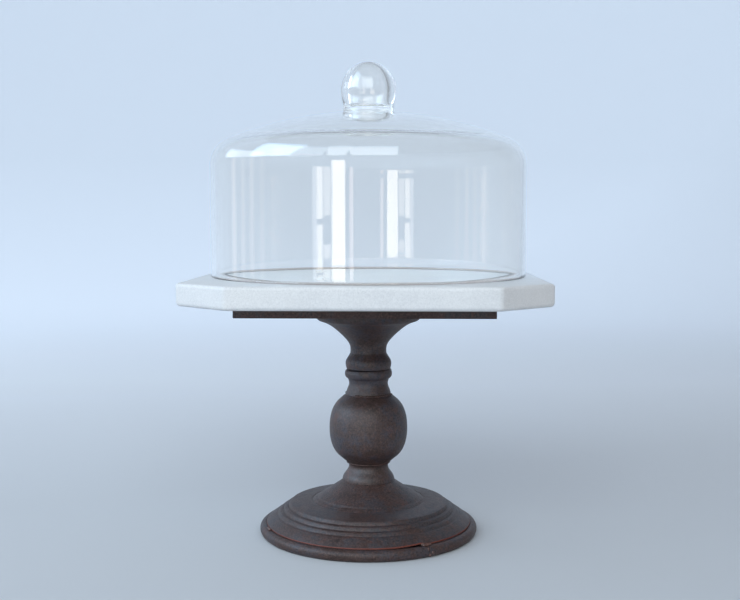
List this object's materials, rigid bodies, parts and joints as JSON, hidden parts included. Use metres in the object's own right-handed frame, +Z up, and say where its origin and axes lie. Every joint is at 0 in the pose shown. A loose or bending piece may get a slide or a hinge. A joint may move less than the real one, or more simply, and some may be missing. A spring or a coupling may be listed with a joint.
{
  "type": "covered cake stand",
  "caption": "Covered cake stand: a clear glass dome with a hollow knob sits on a clipped-corner marble slab, carried by a turned dark iron pedestal with a round spun base.",
  "frame": {"origin": "on the pedestal axis, in the plane that the base ring stands on", "axes": "+Z up along the pedestal axis; -Y is the front; the sides of the square slab are parallel to X and Y"},
  "size_m": [0.305, 0.305, 0.4224],
  "materials": {
    "glass": "polished",
    "marble": "satin",
    "iron": "matte",
    "plate_iron": "matte",
    "weld": "matte",
    "steel": "satin",
    "pad": "matte"
  },
  "bodies": {
    "stand": {"base_ring": "iron", "ring_welds": "weld", "base_bell": "iron", "stem_foot": "iron", "foot_weld": "weld", "stem_ball": "iron", "neck_welds": "weld", "stem_neck": "iron", "stem_trumpet": "iron", "centring_sleeve": "steel", "tie_rod": "steel", "crown_washer": "steel", "lock_washer": "steel", "tie_nut": "steel", "support_plate": "plate_iron", "marble_pads": "pad", "marble_top": "marble"},
    "dome": {"dome_shell": "glass", "dome_knob": "glass"}
  },
  "joints": [
    {"name": "dome_lift", "type": "slide", "parent": "stand", "child": "dome", "axis": [0, 0, 1], "range_m": [0, 0.2]}
  ]
}
